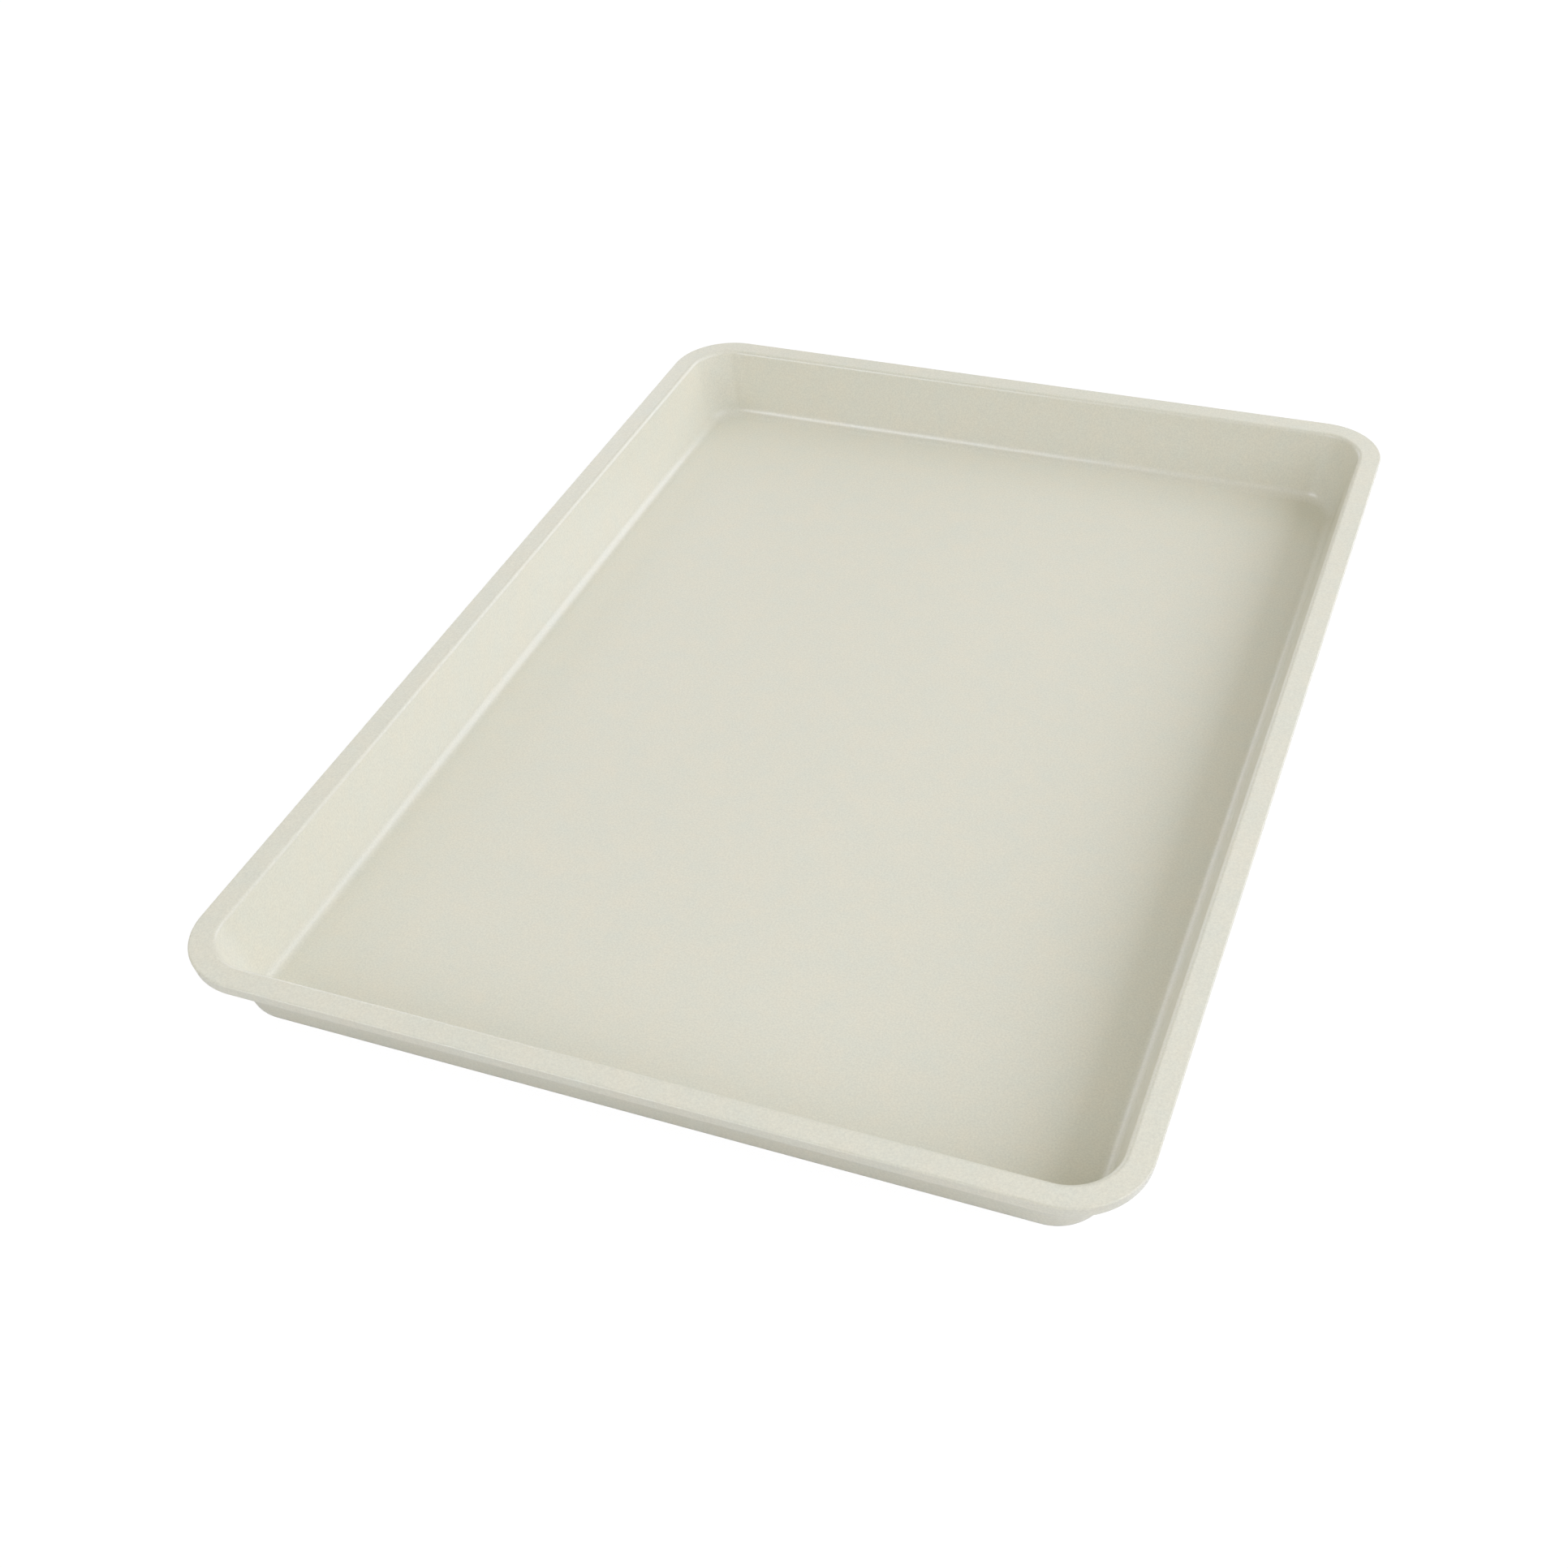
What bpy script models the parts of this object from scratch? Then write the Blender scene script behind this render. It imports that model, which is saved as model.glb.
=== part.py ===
"""Shallow rimmed tray: one pressed, coated steel shell with a hem curled round a steel reinforcing wire.

Frame: +X across the short side, +Y along the long side, +Z up, origin at the bottom centre. Metres.
"""
import math

import bpy

# ---- driving dimensions -------------------------------------------------------------------------
LENGTH = 0.4572                     # outside of the rim, long side (18 in)
WIDTH = 0.3302                      # outside of the rim, short side (13 in)
HEIGHT = 0.031                      # underside of the floor to the top of the rim
CORNER_RADIUS = 0.0268              # outside of the rim, seen from above
CORNER_SPREAD = 0.0045              # how much rounder a corner is at the floor than an even inset makes it
SHEET = 0.0008                      # thickness of the coated sheet
WALL_DRAFT = math.radians(12.3)     # lean of the walls away from vertical
RIM_INNER_CORNER = 0.0092           # rim edge to the sharp corner of the rim top and the inner wall
RIM_BEND = 0.0018                   # radius of the bend between the rim top and the inner wall
FLOOR_FILLET = 0.0052               # radius between the inner wall and the inner floor
LIP_LEAN = math.radians(10.0)       # lean of the rim's outer lip, its foot further in than its top
LIP_TOP_BEND = 0.0005               # outside radius of the pressed edge between the rim top and the lip
WIRE_DIAMETER = 0.0030              # reinforcing wire inside the hem
WIRE_CLEARANCE = 0.0003             # between the wire and the sheet all round
HEM_BEND = 0.0012                   # outside radius of the hem's two lower corners
HEM_SLIT = 0.0004                   # between the hem's raw edge and the underside of the rim
WIRE_END_GAP = 0.0006               # between the butted ends of the wire

# ---- worked out from them -----------------------------------------------------------------------
HEM_HEIGHT = WIRE_DIAMETER + 2 * WIRE_CLEARANCE + 2 * SHEET
WIRE_DEPTH = HEM_HEIGHT / 2
WIRE_ROOM = WIRE_DIAMETER / 2 + WIRE_CLEARANCE
LIP_CORNER = LIP_TOP_BEND * (1 - 1 / math.tan((math.pi / 2 - LIP_LEAN) / 2))
WIRE_INSET = LIP_CORNER + WIRE_DEPTH * math.tan(LIP_LEAN) + (WIRE_ROOM + SHEET) / math.cos(LIP_LEAN)
HEM_OUTSIDE = WIRE_INSET + WIRE_ROOM + SHEET
MITRE = SHEET * math.tan((math.pi / 2 - WALL_DRAFT) / 2)
FLOOR_CORNER = RIM_INNER_CORNER + (HEIGHT - SHEET) * math.tan(WALL_DRAFT)

# ---- fineness -----------------------------------------------------------------------------------
CORNER_STEPS = 10                   # spans in each rounded corner, seen from above
BEND_STEPS = 5                      # spans in each large bend of the section
HEM_STEPS = 3                       # spans in each outside corner of the hem
HEM_INNER_STEPS = 2                 # spans in each inside corner of the hem
WIRE_SIDES = 12                     # sides of the wire's section


def clear_scene():
    """Remove every object in the file."""
    for item in list(bpy.data.objects):
        bpy.data.objects.remove(item, do_unlink=True)


def rounded_corner(before, corner, after, radius, steps):
    """Points of the arc that rounds one corner of a section; the corner itself when the radius is nil."""
    if radius <= 0:
        return [corner]
    ax, ay = before[0] - corner[0], before[1] - corner[1]
    bx, by = after[0] - corner[0], after[1] - corner[1]
    la, lb = math.hypot(ax, ay), math.hypot(bx, by)
    ax, ay, bx, by = ax / la, ay / la, bx / lb, by / lb
    half = math.acos(max(-1.0, min(1.0, ax * bx + ay * by))) / 2
    reach = radius / math.tan(half)
    mx, my = ax + bx, ay + by
    lm = math.hypot(mx, my)
    cx = corner[0] + mx / lm * radius / math.sin(half)
    cy = corner[1] + my / lm * radius / math.sin(half)
    start = (corner[0] + ax * reach, corner[1] + ay * reach)
    end = (corner[0] + bx * reach, corner[1] + by * reach)
    a0 = math.atan2(start[1] - cy, start[0] - cx)
    a1 = math.atan2(end[1] - cy, end[0] - cx)
    turn = (a1 - a0 + math.pi) % (2 * math.pi) - math.pi
    points = []
    for k in range(steps + 1):
        angle = a0 + turn * k / steps
        points.append((cx + radius * math.cos(angle), cy + radius * math.sin(angle)))
    return points


def lip_inset(height, depth):
    """Inset of the leaning lip at one height, or of the face that lies the given depth inside it."""
    return LIP_CORNER + (HEIGHT - height) * math.tan(LIP_LEAN) + depth / math.cos(LIP_LEAN)


def shell_section():
    """Section of the shell as (inset from the rim's outer edge, height), floor top round to underside."""
    top = HEIGHT
    hem_foot = HEIGHT - HEM_HEIGHT
    raw_edge = HEIGHT - SHEET - HEM_SLIT
    deep = 2 * FLOOR_CORNER
    corners = [
        ((deep, SHEET), 0, 0),
        ((FLOOR_CORNER, SHEET), FLOOR_FILLET, BEND_STEPS),
        ((RIM_INNER_CORNER, top), RIM_BEND, BEND_STEPS),
        ((LIP_CORNER, top), LIP_TOP_BEND, HEM_STEPS),
        ((lip_inset(hem_foot, 0.0), hem_foot), HEM_BEND, HEM_STEPS),
        ((HEM_OUTSIDE, hem_foot), HEM_BEND, HEM_STEPS),
        ((HEM_OUTSIDE, raw_edge), 0, 0),
        ((HEM_OUTSIDE - SHEET, raw_edge), 0, 0),
        ((HEM_OUTSIDE - SHEET, hem_foot + SHEET), HEM_BEND - SHEET, HEM_INNER_STEPS),
        ((lip_inset(hem_foot + SHEET, SHEET), hem_foot + SHEET), HEM_BEND - SHEET, HEM_INNER_STEPS),
        ((lip_inset(top - SHEET, SHEET), top - SHEET), 0, 0),
        ((RIM_INNER_CORNER - MITRE, top - SHEET), RIM_BEND - SHEET, BEND_STEPS),
        ((FLOOR_CORNER - MITRE, 0.0), FLOOR_FILLET + SHEET, BEND_STEPS),
        ((deep, 0.0), 0, 0),
    ]
    points = []
    for k in range(1, len(corners) - 1):
        corner, radius, steps = corners[k]
        points += rounded_corner(corners[k - 1][0], corner, corners[k + 1][0], radius, steps)
    return points


def spread_at(inset, height):
    """Extra corner radius at one point of the section: nil on the hem, growing down the wall."""
    if inset <= HEM_OUTSIDE:
        return 0.0
    return CORNER_SPREAD * (HEIGHT - height) / HEIGHT


def rim_loop(inset, spread, steps):
    """Rounded rectangle lying the given inset inside the rim's outer edge, anticlockwise from above."""
    radius = CORNER_RADIUS - inset + spread
    half_x = WIDTH / 2 - CORNER_RADIUS - spread
    half_y = LENGTH / 2 - CORNER_RADIUS - spread
    points = []
    for k, (sx, sy) in enumerate([(1, -1), (1, 1), (-1, 1), (-1, -1)]):
        start = -math.pi / 2 + k * math.pi / 2
        for j in range(steps + 1):
            angle = start + math.pi / 2 * j / steps
            x = sx * half_x + radius * math.cos(angle)
            y = sy * half_y + radius * math.sin(angle)
            points.append((x, y))
    return points


def add_piece(name, verts, faces, material):
    """Make one named mesh object with its own material."""
    mesh = bpy.data.meshes.new(name)
    mesh.from_pydata(verts, [], faces)
    mesh.validate()
    mesh.update()
    piece = bpy.data.objects.new(name, mesh)
    bpy.context.scene.collection.objects.link(piece)
    mesh.materials.append(material)
    bpy.ops.object.select_all(action="DESELECT")
    piece.select_set(True)
    bpy.context.view_layer.objects.active = piece
    bpy.ops.object.shade_smooth()
    mesh.set_sharp_from_angle(angle=math.radians(35))
    return piece


def plain_material(name, colour, metallic, roughness):
    """Principled material of one colour."""
    material = bpy.data.materials.new(name)
    material.use_nodes = True
    shader = material.node_tree.nodes["Principled BSDF"]
    shader.inputs["Base Color"].default_value = (*colour, 1.0)
    shader.inputs["Metallic"].default_value = metallic
    shader.inputs["Roughness"].default_value = roughness
    return material


def make_shell():
    """The pressed sheet: floor, walls, rim and curled hem in one piece."""
    section = shell_section()
    rings = []
    verts = []
    for inset, height in section:
        ring = rim_loop(inset, spread_at(inset, height), CORNER_STEPS)
        rings.append(len(verts))
        verts += [(x, y, height) for x, y in ring]
    count = len(ring)
    faces = []
    for k in range(len(rings) - 1):
        a, b = rings[k], rings[k + 1]
        for j in range(count):
            n = (j + 1) % count
            faces.append((a + j, b + j, b + n, a + n))
    faces.append(tuple(range(rings[0], rings[0] + count)))
    faces.append(tuple(reversed(range(rings[-1], rings[-1] + count))))
    coating = plain_material("cream_coating", (0.72, 0.70, 0.60), 0.0, 0.45)
    return add_piece("pan_shell", verts, faces, coating)


def make_wire():
    """The reinforcing wire inside the hem, its two ends butted half way along the left side."""
    radius = WIRE_DIAMETER / 2
    middle = HEIGHT - WIRE_DEPTH
    path = rim_loop(WIRE_INSET, 0.0, CORNER_STEPS)
    left = -(WIDTH / 2 - WIRE_INSET)
    seam = 3 * (CORNER_STEPS + 1)
    path = path[seam:] + path[:seam]
    path = [(left, -WIRE_END_GAP / 2)] + path + [(left, WIRE_END_GAP / 2)]
    verts = []
    for k, (x, y) in enumerate(path):
        if k == 0 or k == len(path) - 1:
            across = (-1.0, 0.0)
        else:
            cx = max(-(WIDTH / 2 - CORNER_RADIUS), min(WIDTH / 2 - CORNER_RADIUS, x))
            cy = max(-(LENGTH / 2 - CORNER_RADIUS), min(LENGTH / 2 - CORNER_RADIUS, y))
            reach = math.hypot(x - cx, y - cy)
            across = ((x - cx) / reach, (y - cy) / reach)
        for j in range(WIRE_SIDES):
            angle = 2 * math.pi * j / WIRE_SIDES
            out = radius * math.cos(angle)
            verts.append((x + across[0] * out, y + across[1] * out, middle + radius * math.sin(angle)))
    faces = []
    for k in range(len(path) - 1):
        for j in range(WIRE_SIDES):
            n = (j + 1) % WIRE_SIDES
            a, b = k * WIRE_SIDES, (k + 1) * WIRE_SIDES
            faces.append((a + j, b + j, b + n, a + n))
    last = (len(path) - 1) * WIRE_SIDES
    faces.append(tuple(range(WIRE_SIDES)))
    faces.append(tuple(reversed(range(last, last + WIRE_SIDES))))
    steel = plain_material("steel_wire", (0.55, 0.55, 0.56), 1.0, 0.4)
    return add_piece("rim_wire", verts, faces, steel)


clear_scene()
make_shell()
make_wire()
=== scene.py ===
import math

import bpy
from mathutils import Matrix, Vector


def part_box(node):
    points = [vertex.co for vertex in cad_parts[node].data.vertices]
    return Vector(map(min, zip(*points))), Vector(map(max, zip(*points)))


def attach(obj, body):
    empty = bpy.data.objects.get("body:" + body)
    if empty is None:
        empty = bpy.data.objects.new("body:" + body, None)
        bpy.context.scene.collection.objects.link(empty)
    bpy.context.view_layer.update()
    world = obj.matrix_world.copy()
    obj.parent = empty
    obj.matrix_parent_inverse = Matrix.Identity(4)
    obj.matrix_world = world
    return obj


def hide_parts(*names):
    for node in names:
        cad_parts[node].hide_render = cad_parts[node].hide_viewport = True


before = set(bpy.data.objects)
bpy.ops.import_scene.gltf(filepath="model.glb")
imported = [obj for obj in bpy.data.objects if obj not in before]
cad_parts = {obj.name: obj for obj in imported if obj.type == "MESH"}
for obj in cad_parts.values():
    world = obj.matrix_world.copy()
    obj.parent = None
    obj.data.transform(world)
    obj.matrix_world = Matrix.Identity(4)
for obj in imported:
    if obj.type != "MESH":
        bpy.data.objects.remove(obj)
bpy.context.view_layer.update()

# The tray's looks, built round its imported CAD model: a cream-coated pressed shell whose rim is hemmed
# round a steel wire, in a white studio. Metres, in the CAD model's own frame.

# ---- sizes read from the CAD model --------------------------------------------------------------
SHELL_LOW, SHELL_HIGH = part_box("pan_shell")
WIRE_LOW, WIRE_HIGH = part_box("rim_wire")
WIDTH = SHELL_HIGH.x - SHELL_LOW.x
LENGTH = SHELL_HIGH.y - SHELL_LOW.y
HEIGHT = SHELL_HIGH.z - SHELL_LOW.z
WIRE_RADIUS = (WIRE_HIGH.z - WIRE_LOW.z) / 2
WIRE_MIDDLE = (WIRE_HIGH.z + WIRE_LOW.z) / 2
WIRE_INSET = SHELL_HIGH.x - WIRE_HIGH.x + WIRE_RADIUS

# ---- sizes of the pressing, the same as the CAD model's -----------------------------------------
CORNER_RADIUS = 0.0268              # outside of the rim, seen from above
CORNER_SPREAD = 0.0045              # how much rounder a corner is at the floor than an even inset makes it
SHEET = 0.0008                      # thickness of the coated sheet
WALL_DRAFT = math.radians(12.3)     # lean of the walls away from vertical
RIM_INNER_CORNER = 0.0092           # rim edge to the sharp corner of the rim top and the inner wall
RIM_BEND = 0.0018                   # radius of the bend between the rim top and the inner wall
FLOOR_FILLET = 0.0052               # radius between the inner wall and the inner floor
LIP_LEAN = math.radians(10.0)       # lean of the rim's outer lip, its foot further in than its top
LIP_TOP_BEND = 0.0005               # outside radius of the pressed edge between the rim top and the lip
HEM_BEND = 0.0012                   # outside radius of the hem's two lower corners
HEM_SLIT = 0.0004                   # between the hem's raw edge and the underside of the rim
WIRE_END_GAP = 0.0006               # between the butted ends of the wire
RAW_EDGE = SHEET / 4                # softening of the hem's two cut edges
TIGHT_EDGE = SHEET / 8              # softening of the inside corner between the rim top and the lip

LIP_CORNER = LIP_TOP_BEND * (1 - 1 / math.tan((math.pi / 2 - LIP_LEAN) / 2))
HEM_HEIGHT = 2 * (HEIGHT - WIRE_MIDDLE)
HEM_OUTSIDE = WIRE_INSET + HEM_HEIGHT / 2
MITRE = SHEET * math.tan((math.pi / 2 - WALL_DRAFT) / 2)
FLOOR_CORNER = RIM_INNER_CORNER + (HEIGHT - SHEET) * math.tan(WALL_DRAFT)

# ---- fineness of the meshes ---------------------------------------------------------------------
CORNER_STEPS = 40                   # spans in each rounded corner, seen from above
SHORT_STEPS = 14                    # spans along each straight end
LONG_STEPS = 20                     # spans along each straight side
BEND_STEPS = 14                     # spans in each large bend of the section
HEM_STEPS = 8                       # spans in each outside corner of the hem
EDGE_STEPS = 3                      # spans in each softened edge
SUPPORT = 0.00025                   # a loop this far from each bend keeps the flat beside it flat
WALL_STEPS = 6                      # spans down each wall
WIRE_SIDES = 32                     # sides of the wire's section


def rounded_corner(before, corner, after, radius, steps):
    """Points of the arc that rounds one corner of a section."""
    ax, ay = before[0] - corner[0], before[1] - corner[1]
    bx, by = after[0] - corner[0], after[1] - corner[1]
    la, lb = math.hypot(ax, ay), math.hypot(bx, by)
    ax, ay, bx, by = ax / la, ay / la, bx / lb, by / lb
    half = math.acos(max(-1.0, min(1.0, ax * bx + ay * by))) / 2
    reach = radius / math.tan(half)
    middle_x, middle_y = ax + bx, ay + by
    span = math.hypot(middle_x, middle_y)
    cx = corner[0] + middle_x / span * radius / math.sin(half)
    cy = corner[1] + middle_y / span * radius / math.sin(half)
    start = (corner[0] + ax * reach, corner[1] + ay * reach)
    end = (corner[0] + bx * reach, corner[1] + by * reach)
    first = math.atan2(start[1] - cy, start[0] - cx)
    last = math.atan2(end[1] - cy, end[0] - cx)
    turn = (last - first + math.pi) % (2 * math.pi) - math.pi
    points = []
    for k in range(steps + 1):
        angle = first + turn * k / steps
        points.append((cx + radius * math.cos(angle), cy + radius * math.sin(angle)))
    return points


def along(a, b, steps):
    """Points strictly between a and b."""
    return [(a[0] + (b[0] - a[0]) * k / steps, a[1] + (b[1] - a[1]) * k / steps) for k in range(1, steps)]


def flat_between(a, b):
    """Points strictly between the ends of two bends: one close to each bend, and more between on a wall."""
    gap = math.dist(a, b)
    near = min(SUPPORT / gap, 1 / 3)
    first = (a[0] + (b[0] - a[0]) * near, a[1] + (b[1] - a[1]) * near)
    last = (b[0] + (a[0] - b[0]) * near, b[1] + (a[1] - b[1]) * near)
    return [first] + along(first, last, WALL_STEPS if gap > HEM_OUTSIDE else 1) + [last]


def lip_inset(height, depth):
    """Inset of the leaning lip at one height, or of the face that lies the given depth inside it."""
    return LIP_CORNER + (HEIGHT - height) * math.tan(LIP_LEAN) + depth / math.cos(LIP_LEAN)


def shell_section():
    """Section of the shell as (inset from the rim's outer edge, height), floor top round to underside."""
    top = HEIGHT
    foot = HEIGHT - HEM_HEIGHT
    raw_edge = HEIGHT - SHEET - HEM_SLIT
    deep = 2 * FLOOR_CORNER
    corners = [
        ((deep, SHEET), 0, 0),
        ((FLOOR_CORNER, SHEET), FLOOR_FILLET, BEND_STEPS),
        ((RIM_INNER_CORNER, top), RIM_BEND, BEND_STEPS),
        ((LIP_CORNER, top), LIP_TOP_BEND, HEM_STEPS),
        ((lip_inset(foot, 0.0), foot), HEM_BEND, HEM_STEPS),
        ((HEM_OUTSIDE, foot), HEM_BEND, HEM_STEPS),
        ((HEM_OUTSIDE, raw_edge), RAW_EDGE, EDGE_STEPS),
        ((HEM_OUTSIDE - SHEET, raw_edge), RAW_EDGE, EDGE_STEPS),
        ((HEM_OUTSIDE - SHEET, foot + SHEET), HEM_BEND - SHEET, HEM_STEPS),
        ((lip_inset(foot + SHEET, SHEET), foot + SHEET), HEM_BEND - SHEET, HEM_STEPS),
        ((lip_inset(top - SHEET, SHEET), top - SHEET), TIGHT_EDGE, EDGE_STEPS),
        ((RIM_INNER_CORNER - MITRE, top - SHEET), RIM_BEND - SHEET, BEND_STEPS),
        ((FLOOR_CORNER - MITRE, 0.0), FLOOR_FILLET + SHEET, BEND_STEPS),
        ((deep, 0.0), 0, 0),
    ]
    points = []
    for k in range(1, len(corners) - 1):
        corner, radius, steps = corners[k]
        bend = rounded_corner(corners[k - 1][0], corner, corners[k + 1][0], radius, steps)
        if points:
            points += flat_between(points[-1], bend[0])
        points += bend
    inner, outer = points[0], points[-1]
    return [(inner[0] + SUPPORT, inner[1])] + points + [(outer[0] + SUPPORT, outer[1])]


def spread_at(inset, height):
    """Extra corner radius at one point of the section: nil on the hem, growing down the wall."""
    if inset <= HEM_OUTSIDE:
        return 0.0
    return CORNER_SPREAD * (HEIGHT - height) / HEIGHT


def corner_centres(spread):
    """Half the distances between the centres of the rounded corners."""
    return WIDTH / 2 - CORNER_RADIUS - spread, LENGTH / 2 - CORNER_RADIUS - spread


def rim_loop(inset, spread):
    """Rounded rectangle lying the given inset inside the rim's outer edge, anticlockwise from above."""
    radius = CORNER_RADIUS - inset + spread
    half_x, half_y = corner_centres(spread)
    points = []
    for k, (sx, sy) in enumerate([(1, -1), (1, 1), (-1, 1), (-1, -1)]):
        start = -math.pi / 2 + k * math.pi / 2
        arc = []
        for j in range(CORNER_STEPS + 1):
            angle = start + math.pi / 2 * j / CORNER_STEPS
            arc.append((sx * half_x + radius * math.cos(angle), sy * half_y + radius * math.sin(angle)))
        steps = LONG_STEPS if k % 2 == 0 else SHORT_STEPS
        ends = [(half_x + radius, half_y), (-half_x, half_y + radius),
                (-half_x - radius, -half_y), (half_x, -half_y - radius)]
        points += arc
        points += along(arc[-1], ends[k], steps)
    return points


def loop_starts():
    """Where each corner's arc starts in a rim loop."""
    starts = [0]
    for steps in (LONG_STEPS, SHORT_STEPS, LONG_STEPS):
        starts.append(starts[-1] + CORNER_STEPS + steps)
    return starts


def fill_flat(verts, faces, first, spread, height, up):
    """Fill the loop that starts at vertex first: a grid between the corner centres, strips and fans."""
    half_x, half_y = corner_centres(spread)
    grid = len(verts)
    for j in range(LONG_STEPS + 1):
        for k in range(SHORT_STEPS + 1):
            x = -half_x + 2 * half_x * k / SHORT_STEPS
            y = -half_y + 2 * half_y * j / LONG_STEPS
            verts.append((x, y, height))

    def at(k, j):
        return grid + j * (SHORT_STEPS + 1) + k

    made = []
    for j in range(LONG_STEPS):
        for k in range(SHORT_STEPS):
            made.append((at(k, j), at(k + 1, j), at(k + 1, j + 1), at(k, j + 1)))
    right, back, left, front = loop_starts()
    count = front + CORNER_STEPS + SHORT_STEPS
    hubs = [at(SHORT_STEPS, 0), at(SHORT_STEPS, LONG_STEPS), at(0, LONG_STEPS), at(0, 0)]
    for start, hub in zip((right, back, left, front), hubs):
        for j in range(CORNER_STEPS):
            made.append((hub, first + start + j, first + start + j + 1))
    for k in range(LONG_STEPS):
        a = first + right + CORNER_STEPS + k
        made.append((at(SHORT_STEPS, k), a, a + 1, at(SHORT_STEPS, k + 1)))
        a = first + left + CORNER_STEPS + k
        made.append((at(0, LONG_STEPS - k), a, a + 1, at(0, LONG_STEPS - k - 1)))
    for k in range(SHORT_STEPS):
        a = first + back + CORNER_STEPS + k
        made.append((at(SHORT_STEPS - k, LONG_STEPS), a, a + 1, at(SHORT_STEPS - k - 1, LONG_STEPS)))
        a = first + front + CORNER_STEPS + k
        b = first + (front + CORNER_STEPS + k + 1) % count
        made.append((at(k, 0), a, b, at(k + 1, 0)))
    faces += made if up else [tuple(reversed(face)) for face in made]


def add_piece(name, verts, faces, material, cad_node):
    """Make one smooth-shaded mesh object that stands for a CAD node."""
    mesh = bpy.data.meshes.new(name)
    mesh.from_pydata(verts, [], faces)
    mesh.validate()
    mesh.polygons.foreach_set("use_smooth", [True] * len(mesh.polygons))
    mesh.materials.append(material)
    mesh.update()
    piece = bpy.data.objects.new(name, mesh)
    bpy.context.scene.collection.objects.link(piece)
    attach(piece, "root")
    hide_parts(cad_node)
    return piece


def make_shell(material):
    """The pressed sheet: floor, walls, rim and hem in one piece."""
    section = shell_section()
    verts = []
    rings = []
    for inset, height in section:
        rings.append(len(verts))
        verts += [(x, y, height) for x, y in rim_loop(inset, spread_at(inset, height))]
    count = len(verts) // len(rings)
    faces = []
    for a, b in zip(rings, rings[1:]):
        for j in range(count):
            n = (j + 1) % count
            faces.append((a + j, b + j, b + n, a + n))
    for place, up in ((0, True), (-1, False)):
        inset, height = section[place]
        fill_flat(verts, faces, rings[place], spread_at(inset, height), height, up)
    return add_piece("coated_shell", verts, faces, material, "pan_shell")


def make_wire(material):
    """The reinforcing wire inside the hem, its two ends butted half way along the left side."""
    path = rim_loop(WIRE_INSET, 0.0)
    half_x, half_y = corner_centres(0.0)
    left = -(WIDTH / 2 - WIRE_INSET)
    seam = loop_starts()[2] + CORNER_STEPS + LONG_STEPS // 2
    path = path[seam + 1:] + path[:seam]
    path = [(left, -WIRE_END_GAP / 2)] + path + [(left, WIRE_END_GAP / 2)]
    verts = []
    for x, y in path:
        out = Vector((x - max(-half_x, min(half_x, x)), y - max(-half_y, min(half_y, y)))).normalized()
        for j in range(WIRE_SIDES):
            angle = 2 * math.pi * j / WIRE_SIDES
            reach = WIRE_RADIUS * math.cos(angle)
            verts.append((x + out.x * reach, y + out.y * reach, WIRE_MIDDLE + WIRE_RADIUS * math.sin(angle)))
    faces = []
    for k in range(len(path) - 1):
        for j in range(WIRE_SIDES):
            n = (j + 1) % WIRE_SIDES
            a, b = k * WIRE_SIDES, (k + 1) * WIRE_SIDES
            faces.append((a + j, b + j, b + n, a + n))
    last = (len(path) - 1) * WIRE_SIDES
    faces.append(tuple(range(WIRE_SIDES)))
    faces.append(tuple(reversed(range(last, last + WIRE_SIDES))))
    return add_piece("reinforcing_wire", verts, faces, material, "rim_wire")


# ---- materials ----------------------------------------------------------------------------------
# The scales are in cycles a metre, and the depths in metres.
MOTTLE_SCALE = 60.0                 # warm and cool clouds in the cream coating
GRAIN_SCALE = 1400.0                # its fine specks
PEEL_SCALE = 420.0                  # its orange peel
PEEL_DEPTH = 0.00002
GRAIN_DEPTH = 0.00001
COOL_CREAM = (0.740, 0.734, 0.627, 1.0)
WARM_CREAM = (0.774, 0.741, 0.615, 1.0)
CLOUD_SCALE = 160.0                 # dull patches on the wire
LINE_SCALE = 5200.0                 # its drawing lines
LINE_DEPTH = 0.000006
DARK_STEEL = (0.50, 0.50, 0.51, 1.0)
LIGHT_STEEL = (0.60, 0.60, 0.61, 1.0)
NOISE_LOW = 0.3                     # nearly all of a noise texture's values lie between these two
NOISE_HIGH = 0.7


def plain_material(name):
    """A material and its Principled shader."""
    material = bpy.data.materials.new(name)
    material.use_nodes = True
    return material, material.node_tree.nodes["Principled BSDF"]


def new_material(name):
    """A material with its node tree, its Principled shader and its object coordinates."""
    material, shader = plain_material(name)
    nodes = material.node_tree.nodes
    return material, nodes, material.node_tree.links, shader, nodes.new("ShaderNodeTexCoord")


def noise(nodes, links, coords, scale, detail, roughness=0.5):
    """A noise texture in object space."""
    texture = nodes.new("ShaderNodeTexNoise")
    texture.inputs["Scale"].default_value = scale
    texture.inputs["Detail"].default_value = detail
    texture.inputs["Roughness"].default_value = roughness
    links.new(coords.outputs["Object"], texture.inputs["Vector"])
    return texture


def spread_value(nodes, links, source, low, high):
    """Map a noise texture to the range low to high."""
    ramp = nodes.new("ShaderNodeMapRange")
    ramp.inputs["From Min"].default_value = NOISE_LOW
    ramp.inputs["From Max"].default_value = NOISE_HIGH
    ramp.inputs["To Min"].default_value = low
    ramp.inputs["To Max"].default_value = high
    links.new(source, ramp.inputs["Value"])
    return ramp


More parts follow.
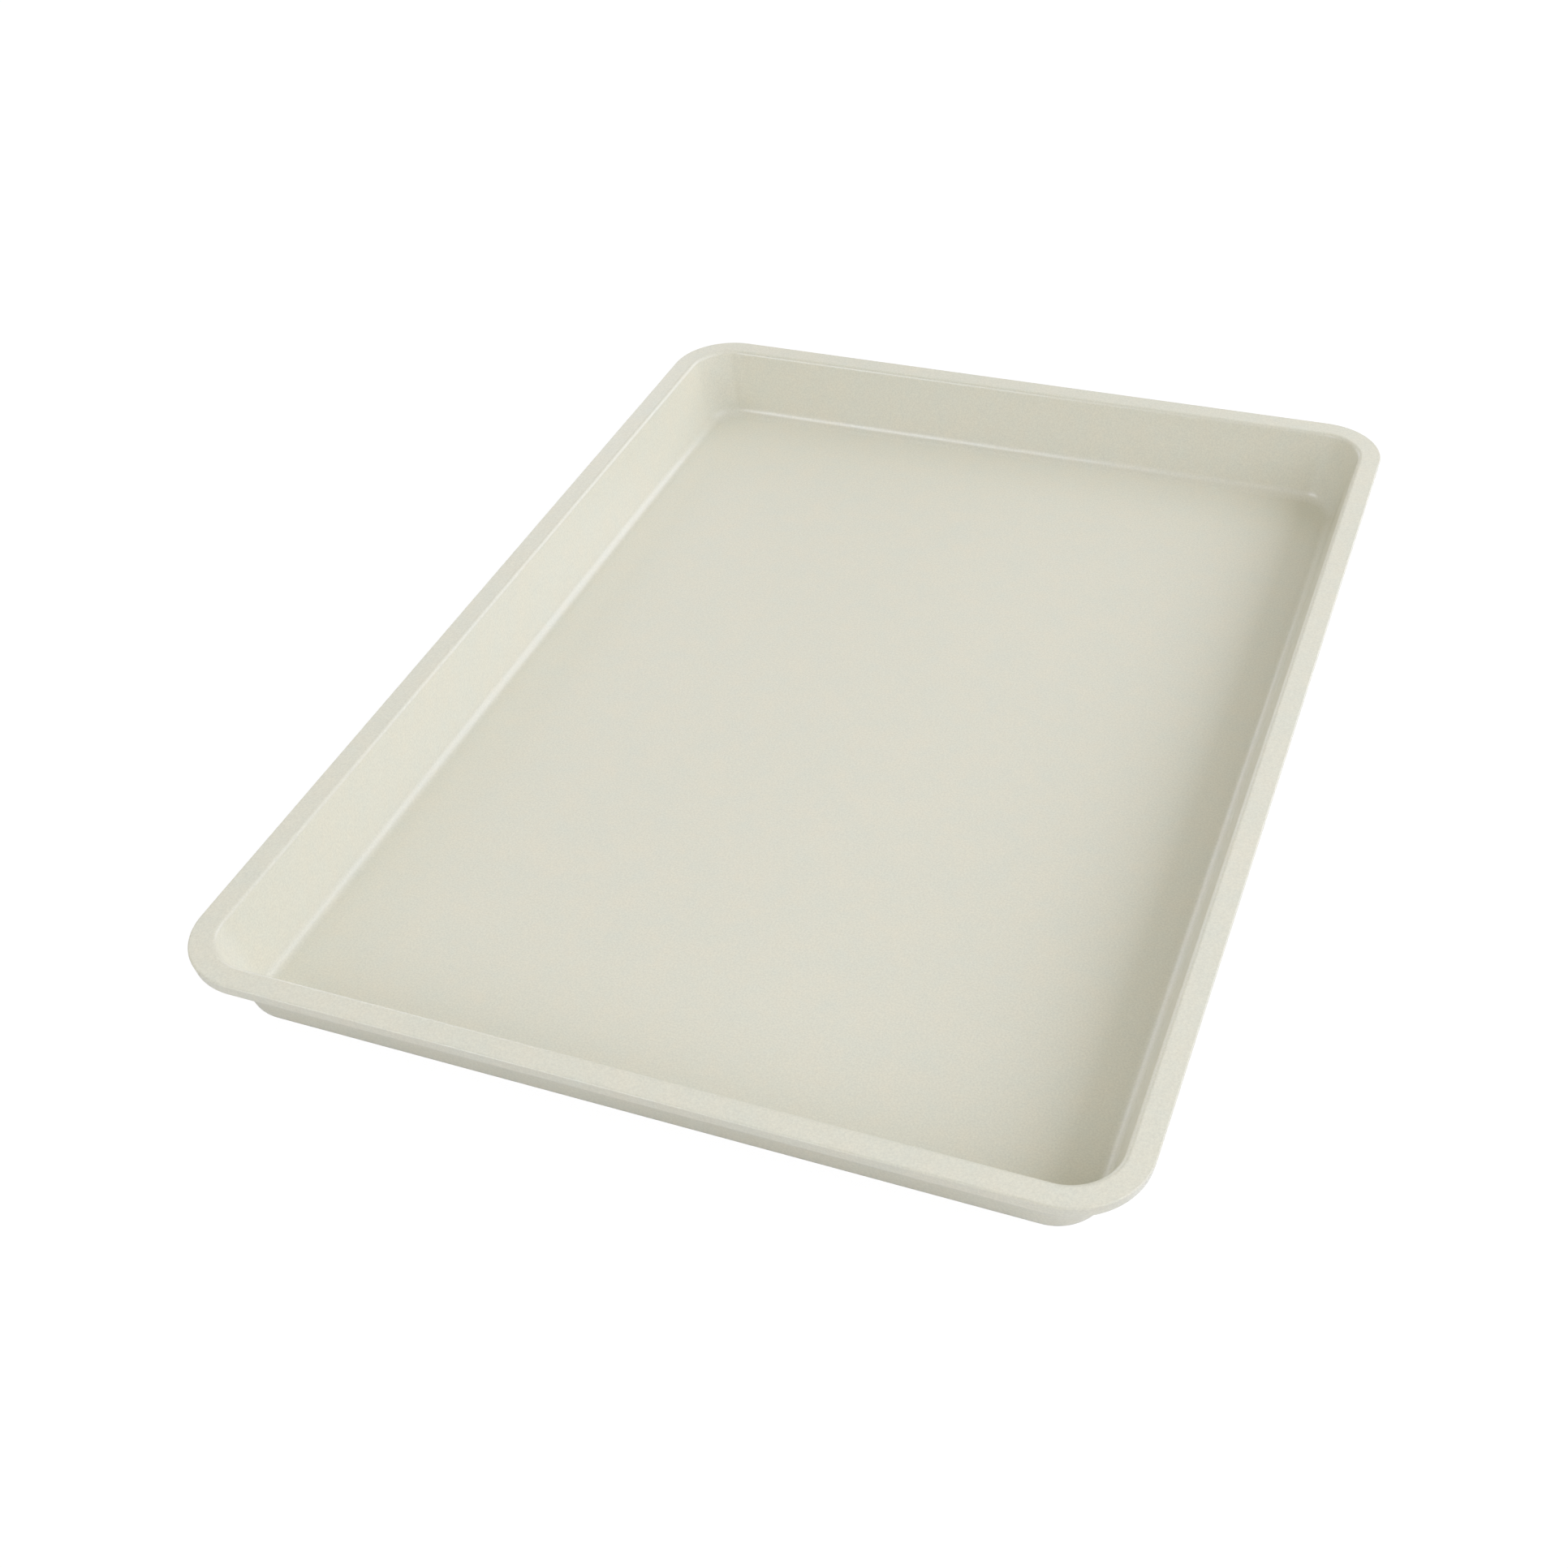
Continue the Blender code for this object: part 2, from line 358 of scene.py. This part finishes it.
def add_bump(nodes, links, height, strength, distance, before=None):
    """A bump node, stacked on the one before it."""
    bump = nodes.new("ShaderNodeBump")
    bump.inputs["Strength"].default_value = strength
    bump.inputs["Distance"].default_value = distance
    links.new(height, bump.inputs["Height"])
    if before is not None:
        links.new(before.outputs["Normal"], bump.inputs["Normal"])
    return bump


def cream_coating():
    """Satin cream coating on steel: fine grain, a trace of orange peel, faint warm and cool mottling."""
    material, nodes, links, shader, coords = new_material("cream_coating")
    mottle = noise(nodes, links, coords, MOTTLE_SCALE, 3.0, 0.8)
    shade = spread_value(nodes, links, mottle.outputs["Fac"], 0.0, 1.0)
    tint = nodes.new("ShaderNodeMix")
    tint.data_type = "RGBA"
    tint.inputs["A"].default_value = COOL_CREAM
    tint.inputs["B"].default_value = WARM_CREAM
    links.new(shade.outputs["Result"], tint.inputs["Factor"])
    grain = noise(nodes, links, coords, GRAIN_SCALE, 2.0, 0.6)
    speck = spread_value(nodes, links, grain.outputs["Fac"], 0.935, 1.06)
    fine = nodes.new("ShaderNodeMix")
    fine.data_type = "RGBA"
    fine.blend_type = "MULTIPLY"
    fine.inputs["Factor"].default_value = 1.0
    links.new(tint.outputs["Result"], fine.inputs["A"])
    links.new(speck.outputs["Result"], fine.inputs["B"])
    links.new(fine.outputs["Result"], shader.inputs["Base Color"])
    clouds = noise(nodes, links, coords, MOTTLE_SCALE, 3.0)
    gloss = spread_value(nodes, links, clouds.outputs["Fac"], 0.34, 0.40)
    links.new(gloss.outputs["Result"], shader.inputs["Roughness"])
    peel = noise(nodes, links, coords, PEEL_SCALE, 1.0)
    peel_bump = add_bump(nodes, links, peel.outputs["Fac"], 0.12, PEEL_DEPTH)
    grain_bump = add_bump(nodes, links, grain.outputs["Fac"], 0.08, GRAIN_DEPTH, peel_bump)
    links.new(grain_bump.outputs["Normal"], shader.inputs["Normal"])
    shader.inputs["IOR"].default_value = 1.5
    shader.inputs["Specular IOR Level"].default_value = 0.75
    shader.inputs["Coat Weight"].default_value = 0.55
    shader.inputs["Coat Roughness"].default_value = 0.19
    shader.inputs["Coat IOR"].default_value = 1.5
    return material


def drawn_steel():
    """Plain drawn steel wire: grey metal with fine drawing lines and a little uneven dullness."""
    material, nodes, links, shader, coords = new_material("drawn_steel")
    cloud = noise(nodes, links, coords, CLOUD_SCALE, 4.0)
    tint = nodes.new("ShaderNodeMix")
    tint.data_type = "RGBA"
    tint.inputs["A"].default_value = DARK_STEEL
    tint.inputs["B"].default_value = LIGHT_STEEL
    links.new(cloud.outputs["Fac"], tint.inputs["Factor"])
    links.new(tint.outputs["Result"], shader.inputs["Base Color"])
    dull = spread_value(nodes, links, cloud.outputs["Fac"], 0.34, 0.48)
    links.new(dull.outputs["Result"], shader.inputs["Roughness"])
    lines = noise(nodes, links, coords, LINE_SCALE, 2.0)
    bump = add_bump(nodes, links, lines.outputs["Fac"], 0.3, LINE_DEPTH)
    links.new(bump.outputs["Normal"], shader.inputs["Normal"])
    shader.inputs["Metallic"].default_value = 1.0
    return material


def studio_white(name, albedo, glow):
    """Matt white for the studio, with a glow of its own."""
    material, shader = plain_material(name)
    shader.inputs["Base Color"].default_value = (albedo, albedo, albedo, 1.0)
    shader.inputs["Roughness"].default_value = 0.9
    shader.inputs["Specular IOR Level"].default_value = 0.0
    shader.inputs["Emission Color"].default_value = (1.0, 1.0, 1.0, 1.0)
    shader.inputs["Emission Strength"].default_value = glow
    return material


# ---- studio -------------------------------------------------------------------------------------
FLOOR_SIZE = 12.0                   # across the floor, and across the round backdrop
BACKDROP_HEIGHT = 6.0
BACKDROP_SIDES = 64
FLOOR_DROP = 0.0003                 # keeps the floor just clear of the underside
FLOOR_ALBEDO = 0.82                 # what the floor sends back up on to the tray
PAPER_ALBEDO = 0.08                 # what the white paper that the camera sees takes of the shadows
PAPER_GLOW = 0.96                   # its own glow, which keeps it white
ROOM = 0.460                        # brightness of the room
ROOM_COLOUR = (1.03, 1.0, 0.87)     # its walls are a warm white
PANEL_COLOUR = (0.96, 1.0, 1.17)    # the soft lights are a cool white, like daylight
PANEL_DISTANCE = 2.2
AIM = Vector((0.0, 0.0, HEIGHT / 2))

SENSOR = 36.0                       # millimetres, the side of the camera's square sensor
CAMERA_TARGET = Vector((-0.00065, -0.07649, HEIGHT))
CAMERA_AZIMUTH = 23.975             # degrees round from straight in front, towards the right
CAMERA_ELEVATION = 39.744           # degrees above level
CAMERA_ROLL = -4.040                # degrees, the view's right edge dropping
CAMERA_DISTANCE = 0.73443
CAMERA_LENS = 47.038                # millimetres


def add_stage(name, verts, faces, material):
    """One piece of the studio round the tray."""
    mesh = bpy.data.meshes.new(name)
    mesh.from_pydata(verts, [], faces)
    mesh.materials.append(material)
    piece = bpy.data.objects.new(name, mesh)
    bpy.context.scene.collection.objects.link(piece)
    return piece


def square(drop):
    """Corners of a square sheet of floor that lies the given drop under the tray."""
    half = FLOOR_SIZE / 2
    return [(-half, -half, -drop), (half, -half, -drop), (half, half, -drop), (-half, half, -drop)]


def backdrop_ring(height):
    """Points round the foot or the top of the round backdrop."""
    turns = [2 * math.pi * k / BACKDROP_SIDES for k in range(BACKDROP_SIDES)]
    return [(FLOOR_SIZE / 2 * math.cos(turn), FLOOR_SIZE / 2 * math.sin(turn), height) for turn in turns]


def add_studio():
    """White paper for the camera, as floor and backdrop, and the floor that lights the tray from beneath."""
    white = studio_white("paper_white", PAPER_ALBEDO, PAPER_GLOW)
    paper = add_stage("floor_paper", square(FLOOR_DROP), [(0, 1, 2, 3)], white)
    sides = []
    for k in range(BACKDROP_SIDES):
        n = (k + 1) % BACKDROP_SIDES
        sides.append((k, n, n + BACKDROP_SIDES, k + BACKDROP_SIDES))
    round_wall = backdrop_ring(-FLOOR_DROP) + backdrop_ring(BACKDROP_HEIGHT)
    backdrop = add_stage("backdrop_paper", round_wall, sides, white)
    for sheet in (paper, backdrop):
        sheet.visible_diffuse = False
        sheet.visible_glossy = False
        sheet.visible_shadow = False
    bounce = add_stage("floor_bounce", square(2 * FLOOR_DROP), [(0, 1, 2, 3)],
                       studio_white("floor_white", FLOOR_ALBEDO, 0.0))
    bounce.visible_camera = False


def direction(azimuth, elevation):
    """Unit vector away from the tray. Azimuth 0 degrees is straight in front and 90 is on the right."""
    turn, rise = math.radians(azimuth), math.radians(elevation)
    return Vector((math.sin(turn) * math.cos(rise), -math.cos(turn) * math.cos(rise), math.sin(rise)))


def add_softbox(name, azimuth, elevation, size, brightness, mirrored=True):
    """A square soft light aimed at the tray.

    A light that isn't mirrored lights the tray but doesn't show as a reflection in its coating.
    """
    away = direction(azimuth, elevation)
    data = bpy.data.lights.new(name, "AREA")
    data.shape = "SQUARE"
    data.size = size
    data.energy = brightness * math.pi * size ** 2
    data.color = PANEL_COLOUR
    light = bpy.data.objects.new(name, data)
    light.visible_glossy = mirrored
    light.location = AIM + away * PANEL_DISTANCE
    light.rotation_euler = (-away).to_track_quat("-Z", "Y").to_euler()
    bpy.context.scene.collection.objects.link(light)


def add_world():
    """A plain room all round."""
    world = bpy.data.worlds.new("studio")
    world.use_nodes = True
    world.node_tree.nodes["Background"].inputs["Color"].default_value = (*ROOM_COLOUR, 1.0)
    world.node_tree.nodes["Background"].inputs["Strength"].default_value = ROOM
    bpy.context.scene.world = world


def add_camera():
    """The camera in front of the tray's near right corner, looking down along it."""
    away = direction(CAMERA_AZIMUTH, CAMERA_ELEVATION)
    turn = math.radians(CAMERA_AZIMUTH)
    level = Vector((math.cos(turn), math.sin(turn), 0.0))
    overhead = away.cross(level)
    roll = math.radians(CAMERA_ROLL)
    right = level * math.cos(roll) + overhead * math.sin(roll)
    up = overhead * math.cos(roll) - level * math.sin(roll)
    data = bpy.data.cameras.new("camera")
    data.sensor_width = SENSOR
    data.lens = CAMERA_LENS
    data.clip_start = 0.01
    camera = bpy.data.objects.new("camera", data)
    place = CAMERA_TARGET + away * CAMERA_DISTANCE
    camera.matrix_world = Matrix((
        (right.x, up.x, away.x, place.x),
        (right.y, up.y, away.y, place.y),
        (right.z, up.z, away.z, place.z),
        (0.0, 0.0, 0.0, 1.0),
    ))
    bpy.context.scene.collection.objects.link(camera)
    bpy.context.scene.camera = camera


make_shell(cream_coating())
make_wire(drawn_steel())
add_studio()
add_softbox("right", 90.0, 32.0, 1.6, 1.0)
add_softbox("right_fill", 90.0, 32.0, 1.6, 3.0, mirrored=False)
add_softbox("right_back", 150.0, 30.0, 1.5, 1.55)
add_softbox("left_back", -135.0, 12.0, 1.3, 1.1)
add_softbox("front", -28.0, 32.0, 0.9, 3.5)
add_softbox("front_low", -18.0, 12.0, 0.9, 0.9)
add_world()
add_camera()
bpy.context.scene.view_settings.view_transform = "Standard"
